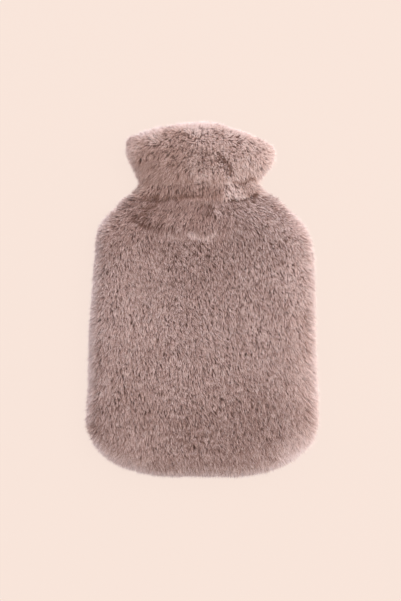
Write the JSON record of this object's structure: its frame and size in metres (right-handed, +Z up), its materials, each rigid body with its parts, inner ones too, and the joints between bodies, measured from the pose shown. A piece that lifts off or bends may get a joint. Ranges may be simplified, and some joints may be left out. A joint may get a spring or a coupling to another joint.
{
  "type": "hot water bottle cover",
  "caption": "Hollow plush cover for a hot water bottle, with a turned-down roll collar, lying on its back.",
  "frame": {"origin": "on the surface that the cover lies on, under the middle of its bounding box", "axes": "+Z up out of the face, +Y from the bottom edge to the mouth of the collar, +X to the right of the face"},
  "size_m": [0.2297, 0.35, 0.064],
  "materials": {
    "plush_front": "long-pile plush, dusty mauve, pile brushed down and outwards",
    "plush_back": "long-pile plush, dusty mauve, pile pressed flat underneath",
    "plush_collar": "long-pile plush, dusty mauve, pile standing up over the roll"
  },
  "bodies": {
    "root": {"front_panel": "plush_front", "back_panel": "plush_back", "collar": "plush_collar"}
  },
  "joints": []
}
